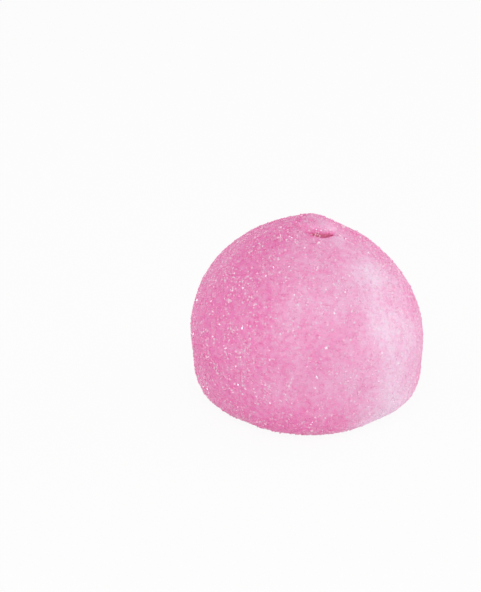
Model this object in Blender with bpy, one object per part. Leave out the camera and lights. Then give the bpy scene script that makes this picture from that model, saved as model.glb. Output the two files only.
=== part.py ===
"""A sugar-coated marshmallow ball: a soft dome that stands on its flat cut base, with the pinched nub on top.

Metres, +Z up, front towards -Y. The origin is the centre of the base, on the surface that it stands on.
The foam and its sugar crust are one piece, so the model is one closed solid.
"""

import math

import bmesh
import bpy
from mathutils import Vector, noise

MM = 0.001

# Driving dimensions of the turned form.
WIDTH = 38.0 * MM
WAIST_HEIGHT = 11.5 * MM  # the widest ring over the table
DOME_HEIGHT = 29.5 * MM  # top of the plain dome
SWELL_HEIGHT = 1.5 * MM  # how far the pinch draws the top of the dome up
SWELL_RADIUS = 8.2 * MM
FLAT_RADIUS = 10.5 * MM  # of the flat spot that it stands on
FOOT_ROUNDING = 3.3  # exponent of the curve from the flat spot to the waist
LEAN = -0.036  # sideways slip towards +X for each metre of height

# The foot isn't quite round: it has four blunt corners, which fade out above it.
CORNER_DEPTH = 0.022
CORNER_FADE_HEIGHT = 9.0 * MM

# Soft dents (depth above 0) and bulges (below 0): angle round Z from +X in degrees, height, depth and
# how far they reach sideways and up.
DENTS = (
    (8, 23.0 * MM, 0.30 * MM, 6.0 * MM, 5.0 * MM),
    (180, 7.0 * MM, 0.55 * MM, 6.0 * MM, 4.5 * MM),
    (225, 17.0 * MM, 0.30 * MM, 7.0 * MM, 6.0 * MM),
    (272, 13.0 * MM, 0.22 * MM, 6.0 * MM, 8.0 * MM),
    (304, 15.0 * MM, -0.22 * MM, 3.5 * MM, 9.0 * MM),
    (352, 6.5 * MM, 0.45 * MM, 5.0 * MM, 3.5 * MM),
    (312, 2.0 * MM, 0.70 * MM, 5.0 * MM, 3.0 * MM),
    (150, 22.0 * MM, -0.25 * MM, 7.0 * MM, 5.0 * MM),
    (180, 27.5 * MM, -0.30 * MM, 12.0 * MM, 3.0 * MM),
    (60, 14.0 * MM, 0.35 * MM, 6.0 * MM, 7.0 * MM),
    (105, 20.0 * MM, 0.30 * MM, 5.5 * MM, 5.0 * MM),
)
RIPPLE_DEPTH = 0.12 * MM  # gentle unevenness everywhere else
RIPPLE_LENGTH = 6.0 * MM
FOOT_FADE = 2.0 * MM  # the side's unevenness fades out below this height, over the flat spot
TOP_FADE = 6.0 * MM  # and within this radius of the top

# The nub: a low round mound of foam folded over towards the front, with a crease under its lip.
NUB_CENTRE = Vector((1.8 * MM, -0.3 * MM))
NUB_HEIGHT = 1.05 * MM
NUB_RADIUS = 3.4 * MM  # to the crease
NUB_FLATNESS = 1.3  # above 1 the smooth side stays level further out and then falls off faster
NUB_MIDDLE = 0.5 * MM  # the lip has no direction within this radius
LIP_DIRECTION = math.radians(-72)  # from +X
LIP_SPREAD = 2.2  # how quickly the lip gives way to the smooth side
LIP_BOUND = 0.30  # cosine of the angle from the lip's direction at which it has half given way
LIP_EDGE = 0.86  # where the lip ends and how sharply, as shares of the nub's radius
LIP_SHARPNESS = 0.10
LIP_DROOP = 0.10  # share of its height that the lip loses out to its edge
LIP_OVERHANG = 0.40 * MM
CREASE_DEPTH = 0.80 * MM
CREASE_WIDTH = 0.13  # as a share of the nub's radius
PINCH_DIRECTION = math.radians(-68)  # from +X: the crease is at its deepest here
PINCH_SPREAD = math.radians(36)
PINCH_SHARE = 0.80  # share of the crease's depth that fades away from there

# Fineness of the mesh.
SEGMENTS = 72
TOP_STEP = 0.32 * MM  # ring spacing over the nub
SIDE_STEP = 1.25 * MM  # ring spacing on the side
FINE_LENGTH = 6.0 * MM  # how far down from the top the rings stay fine
STEP_GROWTH = 0.12
PROFILE_SAMPLES = 900
MERGE_DISTANCE = 0.001 * MM


def clear_scene():
    """Removes whatever the startup file holds."""
    for old in list(bpy.data.objects):
        bpy.data.objects.remove(old)


def profile_point(share):
    """Point (radius, height) of the turned outline: share 0 is the top, 0.5 the waist, 1 the edge of the flat."""
    half_width = WIDTH / 2
    if share < 0.5:
        turn = math.pi * (0.5 - share)
        radius = half_width * math.cos(turn)
        height = WAIST_HEIGHT + (DOME_HEIGHT - WAIST_HEIGHT) * math.sin(turn)
        height += SWELL_HEIGHT * math.exp(-((radius / SWELL_RADIUS) ** 2))
        return radius, height
    turn = math.pi * (share - 0.5)
    power = 2 / FOOT_ROUNDING
    radius = FLAT_RADIUS + (half_width - FLAT_RADIUS) * math.cos(turn) ** power
    height = WAIST_HEIGHT * (1 - math.sin(turn) ** power)
    return radius, height


def ring_step(length):
    """Spacing of the rings at this length down the outline from the top."""
    if length < FINE_LENGTH:
        return TOP_STEP
    return min(SIDE_STEP, TOP_STEP + STEP_GROWTH * (length - FINE_LENGTH))


def outline():
    """Points of the outline from the top to the edge of the flat, spaced as ring_step says."""
    samples = [profile_point(i / PROFILE_SAMPLES) for i in range(PROFILE_SAMPLES + 1)]
    samples[0] = (0.0, samples[0][1])
    samples[-1] = (FLAT_RADIUS, 0.0)
    kept = [samples[0]]
    length = 0.0
    since_kept = 0.0
    for before, after in zip(samples, samples[1:]):
        piece = math.dist(before, after)
        length += piece
        since_kept += piece
        if since_kept >= ring_step(length):
            kept.append(after)
            since_kept = 0.0
    if since_kept < SIDE_STEP / 2:
        kept.pop()
    kept.append(samples[-1])
    return kept


def turned_body():
    """The closed body of revolution, before anything uneven is done to it."""
    bm = bmesh.new()
    chain = [bm.verts.new((radius, 0, height)) for radius, height in outline()]
    edges = [bm.edges.new(pair) for pair in zip(chain, chain[1:])]
    bmesh.ops.spin(
        bm,
        geom=chain + edges,
        axis=(0, 0, 1),
        cent=(0, 0, 0),
        steps=SEGMENTS,
        angle=math.tau,
        use_merge=False,
        use_duplicate=False,
    )
    bmesh.ops.remove_doubles(bm, verts=bm.verts, dist=MERGE_DISTANCE)
    foot = [edge for edge in bm.edges if edge.is_boundary]
    bmesh.ops.edgeloop_fill(bm, edges=foot)
    bmesh.ops.recalc_face_normals(bm, faces=bm.faces)
    return bm


def falloff(distance):
    """A bell curve of this distance, which is 1 at 0 and about a third at 1."""
    return math.exp(-distance * distance)


def corners(point):
    """Share by which the foot stands out here, for its four blunt corners."""
    angle = math.atan2(point.y, point.x)
    return CORNER_DEPTH * math.cos(4 * angle) * falloff(point.z / CORNER_FADE_HEIGHT)


def dents(point):
    """How far the side is pushed in here by the dents, and by the gentle unevenness."""
    angle = math.atan2(point.y, point.x)
    depth = RIPPLE_DEPTH * noise.noise(point / RIPPLE_LENGTH)
    for degrees, height, deep, sideways, upwards in DENTS:
        turn = math.remainder(angle - math.radians(degrees), math.tau)
        across = turn * WIDTH / 2 / sideways
        depth += deep * falloff(math.hypot(across, (point.z - height) / upwards))
    return depth


def nub_shift(point):
    """How far the fold of the nub moves a point of the dome's top."""
    away = Vector((point.x, point.y)) - NUB_CENTRE
    reach = away.length / NUB_RADIUS
    lip_direction = Vector((math.cos(LIP_DIRECTION), math.sin(LIP_DIRECTION)))
    towards_lip = away.dot(lip_direction) / max(away.length, NUB_MIDDLE)
    lip_side = 0.5 + 0.5 * math.tanh(LIP_SPREAD * (towards_lip - LIP_BOUND))
    smooth_side = falloff(reach**NUB_FLATNESS)
    lip = (0.5 - 0.5 * math.tanh((reach - LIP_EDGE) / LIP_SHARPNESS)) * (1 - LIP_DROOP * reach)
    height = NUB_HEIGHT * (smooth_side + lip_side * (lip - smooth_side))
    turn = math.remainder(math.atan2(away.y, away.x) - PINCH_DIRECTION, math.tau)
    pinch = 1 - PINCH_SHARE + PINCH_SHARE * falloff(turn / PINCH_SPREAD)
    crease = CREASE_DEPTH * pinch * lip_side * falloff((reach - 1) / CREASE_WIDTH)
    overhang = LIP_OVERHANG * lip_side * falloff((reach - LIP_EDGE + LIP_SHARPNESS) / LIP_SHARPNESS)
    sideways = lip_direction * overhang
    return Vector((sideways.x, sideways.y, height - crease))


def shape_by_hand(bm):
    """Makes the turned body as uneven as a soft sweet is. The flat spot stays flat."""
    for vert in bm.verts:
        point = vert.co.copy()
        outwards = Vector((point.x, point.y, 0))
        above_flat = min(1.0, point.z / FOOT_FADE)
        vert.co += outwards * corners(point)
        if outwards.length > 0:
            fade = above_flat * min(1.0, outwards.length / TOP_FADE)
            vert.co -= outwards.normalized() * dents(point) * fade
        if point.z > WAIST_HEIGHT:
            vert.co += nub_shift(point)
        vert.co.x += LEAN * point.z


def stand_on_origin(bm):
    """Puts the middle of the body's box over the origin, with the flat spot at Z 0."""
    low = Vector([min(vert.co[axis] for vert in bm.verts) for axis in range(3)])
    high = Vector([max(vert.co[axis] for vert in bm.verts) for axis in range(3)])
    middle = (low + high) / 2
    bmesh.ops.translate(bm, verts=bm.verts, vec=(-middle.x, -middle.y, -low.z))


def sugared_pink():
    """Pink foam under a crust of fine sugar."""
    material = bpy.data.materials.new("sugared_pink")
    material.use_nodes = True
    shader = material.node_tree.nodes["Principled BSDF"]
    shader.inputs["Base Color"].default_value = (0.83, 0.32, 0.57, 1.0)
    shader.inputs["Roughness"].default_value = 0.6
    shader.inputs["Metallic"].default_value = 0.0
    return material


def marshmallow():
    """The whole sweet as one object."""
    bm = turned_body()
    shape_by_hand(bm)
    stand_on_origin(bm)
    mesh = bpy.data.meshes.new("marshmallow")
    bm.to_mesh(mesh)
    bm.free()
    mesh.shade_smooth()
    mesh.set_sharp_from_angle(angle=math.radians(50))
    mesh.materials.append(sugared_pink())
    made = bpy.data.objects.new("marshmallow", mesh)
    bpy.context.scene.collection.objects.link(made)
    return made


clear_scene()
marshmallow()
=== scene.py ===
"""Looks of a sugar-coated marshmallow ball on a white table.

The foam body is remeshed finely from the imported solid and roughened, and three kinds of sugar are laid on it
as real grains: dust, fine grains and coarser crystals. Sizes are in metres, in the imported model's frame.
"""

import math

import bmesh
import bpy
import numpy as np
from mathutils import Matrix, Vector, noise


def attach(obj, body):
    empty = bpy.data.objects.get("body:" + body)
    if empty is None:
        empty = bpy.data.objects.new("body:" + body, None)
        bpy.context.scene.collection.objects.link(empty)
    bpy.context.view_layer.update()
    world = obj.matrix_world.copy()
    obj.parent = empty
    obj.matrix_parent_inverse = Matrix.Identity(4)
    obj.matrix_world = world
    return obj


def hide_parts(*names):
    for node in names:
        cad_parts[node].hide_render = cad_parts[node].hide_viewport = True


MM = 0.001

# The foam body: how fine and how smooth its mesh is.
VOXEL = 0.22 * MM
SMOOTHING_STEPS = 3
SMOOTHING_FACTOR = 0.5
MERGE_DISTANCE = 0.001 * MM
STANDS_OFF = 0.10 * MM  # the foam stands on its own sugar, so its underside is this far over the table
# Relief of the crust: how long its waves are and how far they reach.
RELIEF = (
    (3.2 * MM, 0.09 * MM),
    (1.2 * MM, 0.040 * MM),
    (0.70 * MM, 0.020 * MM),
)
LAYER_SHIFT = 31.0  # sets the noises of its layers apart

# The crust of sugar is 0 where it is thin and 1 where it hides the foam, and it turns the pink paler. The rows
# at 50,
# 84 and 6 degrees are painted highlight, where the lamps light the front and right side, laid over a paler
# crust; the rows at 200 and 275 degrees are pale patches of crust. Each row: angle round Z from the front to
# the right in degrees, how far it reaches on either side of that, and how much it adds.
CRUST_AND_PAINTED_HIGHLIGHT = (
    (50, 21, 0.56),
    (84, 28, 0.32),
    (6, 40, 0.36),
    (200, 30, 0.35),
    (275, 18, 0.15),
)
# Painted light and shade at the foot, added to that: the row below 0 paints the front of the foot a deeper
# pink, as shade next to the table, and the rows above 0 paint it paler, as painted light, most on the lower
# right. Rows as above; and between which heights it fades out.
FOOT_PAINTED_LIGHT_AND_SHADE = (
    (-2, 26, -0.30),
    (52, 22, 0.34),
    (-60, 25, 0.10),
)
FOOT_HEIGHTS = (3.0 * MM, 9.0 * MM)
CRUST_WAVES = 5.0 * MM  # its patches are about this far apart
CRUST_UNEVENNESS = 0.5
# Creases get painted shade, a deeper pink with no pale crust. A crease is told by how far it lies under a copy
# of the body that is averaged in this many rounds.
CREASE_STEPS = 24
CREASE_START = 0.12 * MM  # where it lies less deep than this, it doesn't count
CREASE_HOLLOW = 0.08 * MM  # this much deeper it gets the full painted shade: no crust at all and the deepest pink
CREASE_BLUR = 7  # rounds of averaging that soften the edges of that
CREASE_GAIN = 3.0  # and what makes up for what they take from its middle
TOP_FADE = (27.0 * MM, 31.0 * MM, 0.65)  # between these heights the crust and its painted highlight fall to this share of themselves
MOTTLE_WAVES = 0.9 * MM  # the fine mottling: how far apart its blobs are and how much it changes the crust
MOTTLE = 0.19
GRAIN_WAVES = 0.40 * MM  # the finest sugar of the foam, and how far it stands out
GRAIN_HEIGHT = 0.05 * MM
NOISE_RANGE = (0.3, 0.7)  # nearly all values of a noise texture lie between these

# Colours, as linear numbers.
FOAM_PINK = (0.90, 0.178, 0.495)
# Pale crust, and the painted highlight on the front and right side.
CRUST_AND_HIGHLIGHT_PINK = (0.96, 0.68, 0.86)
# Painted shade in creases.
CREASE_SHADE_PINK = (0.62, 0.05, 0.19)
SUGAR_WHITE = (0.98, 0.92, 0.96)
TABLE_WHITE = (0.90, 0.90, 0.90)
TABLE_GLOW = 0.93  # share of plain white in the table as it is seen
TABLE_REACH = 3.0  # metres to each side

# The view: the sweet stands right of the middle of the picture and a little below it.
CAMERA_DISTANCE = 0.301
CAMERA_HEIGHT = 24  # degrees over the table
LENS = 111.4  # focal length in millimetres
AIM_HEIGHT = 11.5 * MM
AIM_LEFT = 11.0 * MM
AIM_UP = 5.67 * MM

rng = np.random.default_rng(20)


def rgba(colour):
    """A colour with full opacity."""
    return (*colour, 1.0)


# ---------------------------------------------------------------- materials


class Nodes:
    """A short way to build a material's node tree."""

    def __init__(self, name):
        self.material = bpy.data.materials.new(name)
        self.material.use_nodes = True
        self.tree = self.material.node_tree
        self.shader = self.tree.nodes["Principled BSDF"]

    def add(self, kind, **settings):
        node = self.tree.nodes.new(kind)
        for key, value in settings.items():
            setattr(node, key, value)
        return node

    def link(self, start, end):
        self.tree.links.new(start, end)

    def noise(self, wavelength, detail=2.0, roughness=0.5):
        """Noise over the surface, from 0 to 1, whose blobs are about this many metres apart."""
        place = self.add("ShaderNodeTexCoord")
        made = self.add("ShaderNodeTexNoise")
        made.inputs["Scale"].default_value = 1 / wavelength
        made.inputs["Detail"].default_value = detail
        made.inputs["Roughness"].default_value = roughness
        self.link(place.outputs["Object"], made.inputs["Vector"])
        return made.outputs["Fac"]

    def remap(self, value, low, high, to_low=0.0, to_high=1.0):
        """value, stretched so that low to high becomes to_low to to_high."""
        made = self.add("ShaderNodeMapRange")
        self.link(value, made.inputs["Value"])
        for name, number in zip(("From Min", "From Max", "To Min", "To Max"), (low, high, to_low, to_high)):
            made.inputs[name].default_value = number
        return made.outputs["Result"]

    def sum(self, first, second):
        """The sum of two numbers' sockets."""
        made = self.add("ShaderNodeMath", operation="ADD")
        self.link(first, made.inputs[0])
        self.link(second, made.inputs[1])
        return made.outputs[0]

    def clamped(self, value):
        """value, cut off below 0 and above 1."""
        return self.remap(value, 0.0, 1.0)

    def mix(self, share, first, second):
        """A colour between first and second, each a colour or a socket."""
        made = self.add("ShaderNodeMix", data_type="RGBA")
        self.link(share, made.inputs["Factor"])
        for socket, colour in ((made.inputs[6], first), (made.inputs[7], second)):
            if isinstance(colour, tuple):
                socket.default_value = rgba(colour)
            else:
                self.link(colour, socket)
        return made.outputs[2]

    def bump(self, height, strength, distance):
        """Makes the shader's surface look raised by height times this distance in metres."""
        made = self.add("ShaderNodeBump")
        made.inputs["Strength"].default_value = strength
        made.inputs["Distance"].default_value = distance
        self.link(height, made.inputs["Height"])
        self.link(made.outputs["Normal"], self.shader.inputs["Normal"])

    def set(self, **values):
        """Sets inputs of the shader, each named with _ for its spaces."""
        for name, value in values.items():
            self.shader.inputs[name.replace("_", " ")].default_value = value


def pink_with_painted_light(n):
    """The colour of a place: pink foam, paler where the crust is thick and where a highlight is painted,
    painted shade of a deeper pink in creases, softly mottled.
    """
    crust_and_painted_light = n.add("ShaderNodeAttribute", attribute_name="crust_and_painted_light").outputs["Fac"]
    # painted shade: a deeper pink in creases
    crease_shaded = n.mix(n.remap(crust_and_painted_light, -1.0, 0.0), CREASE_SHADE_PINK, FOAM_PINK)
    mottling = n.remap(n.noise(MOTTLE_WAVES, detail=3.0, roughness=0.6), *NOISE_RANGE, -MOTTLE, MOTTLE)
    share = n.sum(crust_and_painted_light, mottling)
    # paler with the crust and with the painted highlight
    return n.mix(n.clamped(share), crease_shaded, CRUST_AND_HIGHLIGHT_PINK)


def foam_material():
    """The foam with its finest sugar: grained softly, with a faint gloss."""
    n = Nodes("sugared_foam")
    n.link(pink_with_painted_light(n), n.shader.inputs["Base Color"])
    grain = n.noise(GRAIN_WAVES)
    n.link(n.remap(grain, *NOISE_RANGE, to_low=0.65, to_high=0.5), n.shader.inputs["Roughness"])
    n.bump(grain, strength=0.2, distance=GRAIN_HEIGHT)
    n.set(Specular_IOR_Level=1.0, Coat_Weight=0.2, Coat_Roughness=0.55)
    n.set(Subsurface_Weight=0.2, Subsurface_Scale=1.5 * MM, Subsurface_Radius=(1.0, 0.45, 0.65))
    return n.material


def sugar_material(name, palest, rareness, roughness):
    """Clear sugar grains: each shows the pink that it lies on, with its painted highlight and painted crease
    shade, but frosted ones are whiter, up to palest.

    The higher the rareness, the fewer those are.
    """
    n = Nodes(name)
    chance = n.add("ShaderNodeNewGeometry").outputs["Random Per Island"]
    frosted = n.add("ShaderNodeMath", operation="POWER")
    n.link(chance, frosted.inputs[0])
    frosted.inputs[1].default_value = rareness
    white = n.remap(frosted.outputs[0], 0.0, 1.0, 0.0, palest)
    n.link(n.mix(white, pink_with_painted_light(n), SUGAR_WHITE), n.shader.inputs["Base Color"])
    n.set(Roughness=roughness, Specular_IOR_Level=1.0, Coat_Weight=0.2, Coat_Roughness=roughness)
    return n.material


def seen_directly(tree):
    """1 for rays of the camera, of reflections and through clear things, 0 for those that light a surface."""
    path = tree.nodes.new("ShaderNodeLightPath")
    total = None
    for kind in ("Is Camera Ray", "Is Glossy Ray", "Is Transmission Ray"):
        if total is None:
            total = path.outputs[kind]
            continue
        larger = tree.nodes.new("ShaderNodeMath")
        larger.operation = "MAXIMUM"
        tree.links.new(total, larger.inputs[0])
        tree.links.new(path.outputs[kind], larger.inputs[1])
        total = larger.outputs[0]
    return total


def table_material():
    """A white table. What sees it takes it mostly for plain white, so that the shadow on it stays light."""
    n = Nodes("white_table")
    n.set(Base_Color=rgba(TABLE_WHITE), Roughness=0.9)
    glow = n.add("ShaderNodeEmission")
    blend = n.add("ShaderNodeMixShader")
    seen = n.add("ShaderNodeMath", operation="MULTIPLY")
    seen.inputs[1].default_value = TABLE_GLOW
    n.link(seen_directly(n.tree), seen.inputs[0])
    n.link(seen.outputs[0], blend.inputs["Fac"])
    n.link(n.shader.outputs["BSDF"], blend.inputs[1])
    n.link(glow.outputs["Emission"], blend.inputs[2])
    n.link(blend.outputs["Shader"], n.tree.nodes["Material Output"].inputs["Surface"])
    return n.material


# ---------------------------------------------------------------- the foam body


def coordinates(mesh):
    """The points of a mesh, a row for each."""
    points = np.empty(len(mesh.vertices) * 3)
    mesh.vertices.foreach_get("co", points)
    return points.reshape(-1, 3)


def values_of(mesh, attribute):
    """A named attribute's value at each point."""
    values = np.empty(len(mesh.vertices))
    mesh.attributes[attribute].data.foreach_get("value", values)
    return values


def normals_of(mesh):
    """The surface's normal at each point, a row for each."""
    normals = np.empty(len(mesh.vertices) * 3)
    mesh.vertices.foreach_get("normal", normals)
    return normals.reshape(-1, 3)


def smooth_copy_of(solid):
    """An object with a fine, even mesh of the same shape as the solid."""
    bm = bmesh.new()
    bm.from_mesh(solid.data)
    bmesh.ops.remove_doubles(bm, verts=bm.verts, dist=MERGE_DISTANCE)
    mesh = bpy.data.meshes.new("foam_body")
    bm.to_mesh(mesh)
    bm.free()
    body = bpy.data.objects.new("foam_body", mesh)
    bpy.context.scene.collection.objects.link(body)
    finer = body.modifiers.new("finer", "SUBSURF")
    finer.levels = finer.render_levels = 1
    even = body.modifiers.new("even", "REMESH")
    even.mode = "VOXEL"
    even.voxel_size = VOXEL
    smoother = body.modifiers.new("smoother", "SMOOTH")
    smoother.factor = SMOOTHING_FACTOR
    smoother.iterations = SMOOTHING_STEPS
    evaluated = body.evaluated_get(bpy.context.evaluated_depsgraph_get())
    fine = bpy.data.meshes.new_from_object(evaluated)
    body.modifiers.clear()
    body.data = fine
    return body


def roughen(mesh):
    """Moves each point along its normal, as the crust's lumps do, and keeps the sweet over the table."""
    points = coordinates(mesh)
    shift = np.zeros(len(points))
    for layer, (wavelength, height) in enumerate(RELIEF):
        offset = Vector((LAYER_SHIFT * layer, 0, 0))
        shift += height * np.array([noise.noise(Vector(p) / wavelength + offset) for p in points])
    points += normals_of(mesh) * shift[:, None]
    points[:, 2] = np.maximum(points[:, 2], STANDS_OFF)
    mesh.vertices.foreach_set("co", points.ravel())
    mesh.update()


def averaged(mesh, values, rounds):
    """values, a row for each point, after this many rounds of averaging over each point's neighbours."""
    edges = np.empty(len(mesh.edges) * 2, int)
    mesh.edges.foreach_get("vertices", edges)
    start, end = np.concatenate([edges.reshape(-1, 2), edges.reshape(-1, 2)[:, ::-1]]).T
    neighbours = np.bincount(start, minlength=len(values))
    for _ in range(rounds):
        sums = [np.bincount(start, column[end], len(values)) for column in values.T]
        values = np.stack(sums, 1) / neighbours[:, None]
    return values


def crease_shade_mask(mesh):
    """Where shade is painted: 1 in a crease, which lies well under a much smoothed copy of the mesh, 0
    elsewhere, soft in between.
    """
    points = coordinates(mesh)
    smooth = averaged(mesh, points, CREASE_STEPS)
    hollow = np.einsum("ij,ij->i", smooth - points, normals_of(mesh))
    crease_shaded = np.clip((hollow - CREASE_START) / CREASE_HOLLOW, 0, 1)
    return np.clip(averaged(mesh, crease_shaded[:, None], CREASE_BLUR)[:, 0] * CREASE_GAIN, 0, 1)


def by_side(points, sides):
    """A sum of soft bells round Z at each point, each given by its angle, its reach and its height."""
    angles = np.degrees(np.arctan2(points[:, 0], -points[:, 1]))
    total = np.zeros(len(points))
    for middle, reach, height in sides:
        turn = (angles - middle + 180) % 360 - 180
        total += height * np.exp(-((turn / reach) ** 2))
    return total


def paleness_with_painted_light(mesh):
    """How pale each point is: 0 to 1 for crust with soft patches, with painted highlight on the front and
    right side and painted light and shade at the foot, and down to -1 for painted shade in creases.
    """
    points = coordinates(mesh)
    # pale crust, with painted highlight on the front and right side
    paleness = by_side(points, CRUST_AND_PAINTED_HIGHLIGHT)
    waves = np.array([noise.noise(Vector(p) / CRUST_WAVES) for p in points])
    paleness *= 1 + CRUST_UNEVENNESS * waves
    paleness *= np.interp(points[:, 2], TOP_FADE[:2], (1, TOP_FADE[2]))
    # painted light and shade at the foot
    paleness += np.interp(points[:, 2], FOOT_HEIGHTS, (1, 0)) * by_side(points, FOOT_PAINTED_LIGHT_AND_SHADE)
    # painted shade in creases
    crease_shade = crease_shade_mask(mesh)
    return np.clip(paleness, 0, 1) * (1 - crease_shade) - crease_shade


def make_foam_body(solid):
    """The foam, as a fine mesh in the place of its solid."""
    body = smooth_copy_of(solid)
    # pale crust with painted highlight, painted light and shade at the foot, and painted shade in creases
    paleness = paleness_with_painted_light(body.data)
    roughen(body.data)
    body.data.attributes.new("crust_and_painted_light", "FLOAT", "POINT").data.foreach_set("value", paleness)
    body.data.shade_smooth()
    body.data.materials.clear()
    body.data.materials.append(foam_material())
    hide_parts("marshmallow")
    return body


# ---------------------------------------------------------------- the sugar

# Each kind of grain as its points, within about 1 of its middle, and its faces. Z points out of the foam.


def ring(count, radius, height):
    """Points of a regular ring, as the corners of a flat side."""
    turns = [math.tau * step / count for step in range(count)]
    return [(radius * math.cos(turn), radius * math.sin(turn), height) for turn in turns]


# A splinter lies with its flat side out.
SPLINTER = (
    np.array([*ring(3, 1.0, 0.05), (0, 0, -0.6)]),
    np.array([(0, 1, 2), (1, 0, 3), (2, 1, 3), (0, 2, 3)]),
)
GRAIN = (
    np.array([*ring(3, 0.85, 0.1), *ring(3, 1.15, -0.5)]),
    [(0, 1, 2), (5, 4, 3), (0, 3, 4, 1), (1, 4, 5, 2), (2, 5, 3, 0)],
)
CRYSTAL = (
    np.array([*ring(4, 0.85, 0.2), *ring(4, 1.1, -0.5)]),
    [(0, 1, 2, 3), (7, 6, 5, 4), (0, 4, 5, 1), (1, 5, 6, 2), (2, 6, 7, 3), (3, 7, 4, 0)],
)
GRAIN_PROPORTIONS = (0.7, 1.2)  # each of a grain's three sizes varies between these shares

# Where the crystals lie. They gather in clusters, as a share of what a cluster draws.
CLUSTER_WAVES = 2.6 * MM  # how far apart the clusters are
CLUSTER_CONTRAST = 1.6
BETWEEN_CLUSTERS = 0.08
# They lie mostly where the crust is thin and no highlight is painted: what a bare place draws, and a place
# with the thickest crust or painted highlight.
ON_BARE_FOAM = 1.1
ON_THICK_CRUST = 0.05
# Where most of them lie: angle round Z from the front to the right, how far it reaches, and how many more.
CROWDED_SIDES = (
    (-42, 36, 1.6),
    (150, 40, 1.2),
)


def leaning_axes(normals, tilt):
    """Three axes for each grain. The third leans from the normal by an angle whose tangent is about tilt."""
    count = len(normals)
    outwards = normals + tilt * rng.normal(size=(count, 3))
    outwards /= np.linalg.norm(outwards, axis=1)[:, None]
    sideways = np.cross(outwards, rng.normal(size=(count, 3)))
    sideways /= np.linalg.norm(sideways, axis=1)[:, None]
    return np.stack([sideways, np.cross(outwards, sideways), outwards], axis=1)


def crowding(mesh):
    """How many crystals each point draws: they gather in clusters, and where the crust is thin and no
    highlight is painted.
    """
    points = coordinates(mesh)
    waves = np.array([noise.noise(Vector(p) / CLUSTER_WAVES) for p in points])
    clusters = np.clip(0.5 + CLUSTER_CONTRAST * waves, BETWEEN_CLUSTERS, 1)
    clusters *= 1 + by_side(points, CROWDED_SIDES)
    return np.clip(ON_BARE_FOAM - values_of(mesh, "crust_and_painted_light"), ON_THICK_CRUST, 1) * clusters


def scattered_places(body, count, crowded):
    """Random points of the body's surface, the surface's normals there, and the crust with its painted light
    and shade there.
    """
    mesh = body.data
    mesh.calc_loop_triangles()
    corners = np.empty(len(mesh.loop_triangles) * 3, int)
    mesh.loop_triangles.foreach_get("vertices", corners)
    a, b, c = coordinates(mesh)[corners.reshape(-1, 3)].transpose(1, 0, 2)
    cross = np.cross(b - a, c - a)
    area = np.linalg.norm(cross, axis=1)
    weight = area * crowding(mesh)[corners[::3]] if crowded else area
    chosen = rng.choice(len(area), size=count, p=weight / weight.sum())
    u, v = rng.random((2, count))
    outside = u + v > 1
    u[outside], v[outside] = 1 - u[outside], 1 - v[outside]
    places = a[chosen] + u[:, None] * (b - a)[chosen] + v[:, None] * (c - a)[chosen]
    return places, cross[chosen] / area[chosen, None], values_of(mesh, "crust_and_painted_light")[corners[::3][chosen]]


def scatter_sugar(body, name, shape, material, count, smallest, largest, tilt, crowded=False):
    """Lays grains of one kind on the body as one mesh. smallest and largest are their sizes in metres."""
    shape_points, shape_faces = shape
    places, normals, crust_and_painted_light = scattered_places(body, count, crowded)
    half_size = rng.uniform(smallest / 2, largest / 2, (count, 1, 1))
    uneven = rng.uniform(*GRAIN_PROPORTIONS, (count, 1, 3))
    grains = np.einsum("nij,njk->nik", shape_points[None] * uneven * half_size, leaning_axes(normals, tilt))
    points = (grains + places[:, None]).reshape(-1, 3)
    points[:, 2] = np.maximum(points[:, 2], 0.0)
    face_sizes = np.tile([len(face) for face in shape_faces], count)
    one_grain = np.concatenate([np.asarray(face) for face in shape_faces])
    corners = (one_grain[None] + np.arange(count)[:, None] * len(shape_points)).ravel()
    mesh = bpy.data.meshes.new(name)
    mesh.vertices.add(len(points))
    mesh.vertices.foreach_set("co", points.ravel())
    mesh.loops.add(len(corners))
    mesh.loops.foreach_set("vertex_index", corners)
    mesh.polygons.add(len(face_sizes))
    mesh.polygons.foreach_set("loop_start", np.cumsum(face_sizes) - face_sizes)
    mesh.update(calc_edges=True)
    mesh.shade_flat()
    # each grain takes the crust, painted highlight and painted crease shade of its place
    grain_paleness = mesh.attributes.new("crust_and_painted_light", "FLOAT", "POINT")
    grain_paleness.data.foreach_set("value", np.repeat(crust_and_painted_light, len(shape_points)))
    mesh.materials.append(material)
    made = bpy.data.objects.new(name, mesh)
    bpy.context.scene.collection.objects.link(made)
    return made


def make_sugar(body):
    """The three kinds of sugar."""
    dust = sugar_material("sugar_dust", palest=0.12, rareness=1.0, roughness=0.45)
    fine = sugar_material("fine_sugar", palest=0.4, rareness=3.0, roughness=0.25)
    coarse = sugar_material("sugar_crystals", palest=0.7, rareness=2.6, roughness=0.15)
    return [
        scatter_sugar(
            body, "sugar_dust", SPLINTER, dust,
            count=40000, smallest=0.22 * MM, largest=0.38 * MM, tilt=0.25,
        ),
        scatter_sugar(
            body, "fine_sugar", GRAIN, fine,
            count=20000, smallest=0.34 * MM, largest=0.48 * MM, tilt=0.30,
        ),
        scatter_sugar(
            body, "sugar_crystals", CRYSTAL, coarse,
            count=7500, smallest=0.36 * MM, largest=0.56 * MM, tilt=0.45, crowded=True,
        ),
    ]


# ---------------------------------------------------------------- the table, the light and the camera


def direction(azimuth, height):
    """Unit vector from the sweet, from two angles in degrees: azimuth, 0 at the front and 90 at the right, and
    height over the table."""
    turn, rise = math.radians(azimuth), math.radians(height)
    return Vector((math.sin(turn) * math.cos(rise), -math.cos(turn) * math.cos(rise), math.sin(rise)))


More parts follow.
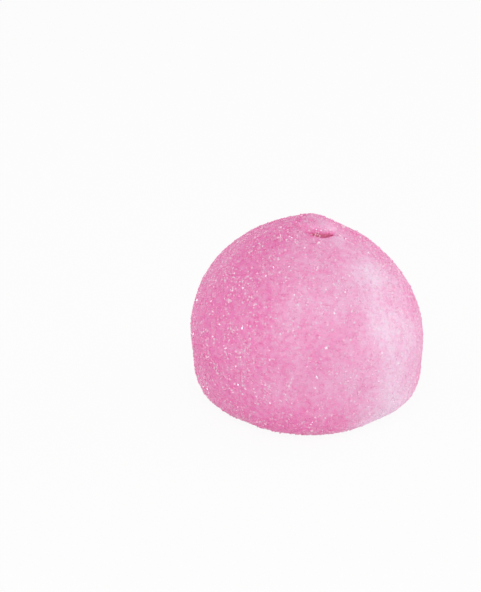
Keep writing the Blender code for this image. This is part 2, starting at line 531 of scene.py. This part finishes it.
def make_table():
    """The table under the sweet, with its top at Z 0."""
    bm = bmesh.new()
    bmesh.ops.create_grid(bm, x_segments=2, y_segments=2, size=TABLE_REACH)
    mesh = bpy.data.meshes.new("white_table")
    bm.to_mesh(mesh)
    bm.free()
    mesh.materials.append(table_material())
    table = bpy.data.objects.new("white_table", mesh)
    bpy.context.scene.collection.objects.link(table)


def make_lamp(name, azimuth, height, distance, width, tall, level):
    """A white softbox. level is how bright it alone makes a white surface facing it, where 1 is white."""
    data = bpy.data.lights.new(name, "AREA")
    data.shape = "ELLIPSE"
    data.size = width
    data.size_y = tall
    data.energy = level * (math.pi * distance) ** 2
    lamp = bpy.data.objects.new(name, data)
    towards = direction(azimuth, height)
    lamp.location = Vector((0, 0, AIM_HEIGHT)) + towards * distance
    lamp.rotation_euler = towards.to_track_quat("Z", "Y").to_euler()
    bpy.context.scene.collection.objects.link(lamp)


def make_sky(strength):
    """Plain white surroundings, which the camera sees as white whatever light they give."""
    world = bpy.data.worlds.new("white_room")
    world.use_nodes = True
    bpy.context.scene.world = world
    tree = world.node_tree
    background = tree.nodes["Background"]
    level = tree.nodes.new("ShaderNodeMapRange")
    level.inputs["To Min"].default_value = strength
    level.inputs["To Max"].default_value = 1.0
    tree.links.new(seen_directly(tree), level.inputs["Value"])
    tree.links.new(level.outputs["Result"], background.inputs["Strength"])
    background.inputs["Color"].default_value = rgba((1, 1, 1))


def make_camera():
    """A camera in front of the sweet and above it, which aims past its left side."""
    data = bpy.data.cameras.new("camera")
    data.lens = LENS
    camera = bpy.data.objects.new("camera", data)
    back = direction(0, CAMERA_HEIGHT)
    right = Vector((1, 0, 0))
    up = back.cross(right)
    middle = Vector((0, 0, AIM_HEIGHT))
    camera.location = middle + back * CAMERA_DISTANCE
    aim = middle - right * AIM_LEFT + up * AIM_UP
    camera.rotation_euler = (camera.location - aim).to_track_quat("Z", "Y").to_euler()
    bpy.context.scene.collection.objects.link(camera)
    bpy.context.scene.camera = camera


def light_and_view():
    """White surroundings with four softboxes, the table and the camera."""
    bpy.context.scene.view_settings.view_transform = "Standard"
    make_sky(strength=0.54)
    make_lamp("key", azimuth=105, height=20, distance=0.35, width=0.25, tall=0.30, level=0.17)
    make_lamp("side", azimuth=55, height=-1, distance=0.40, width=0.30, tall=0.16, level=0.26)
    make_lamp("fill", azimuth=-5, height=50, distance=0.50, width=0.30, tall=0.30, level=0.24)
    make_lamp("glint", azimuth=-65, height=8, distance=0.50, width=0.10, tall=0.10, level=0.12)
    make_table()
    make_camera()


# ---------------------------------------------------------------- the scene

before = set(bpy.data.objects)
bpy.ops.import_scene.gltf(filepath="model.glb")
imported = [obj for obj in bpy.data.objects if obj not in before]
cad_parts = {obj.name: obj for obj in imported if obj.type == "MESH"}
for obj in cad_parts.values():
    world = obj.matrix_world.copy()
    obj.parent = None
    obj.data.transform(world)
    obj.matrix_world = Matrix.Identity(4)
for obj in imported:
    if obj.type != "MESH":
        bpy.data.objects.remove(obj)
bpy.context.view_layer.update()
foam_body = make_foam_body(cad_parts["marshmallow"])
pieces = [foam_body, *make_sugar(foam_body)]
for piece in pieces:
    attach(piece, "root")
light_and_view()
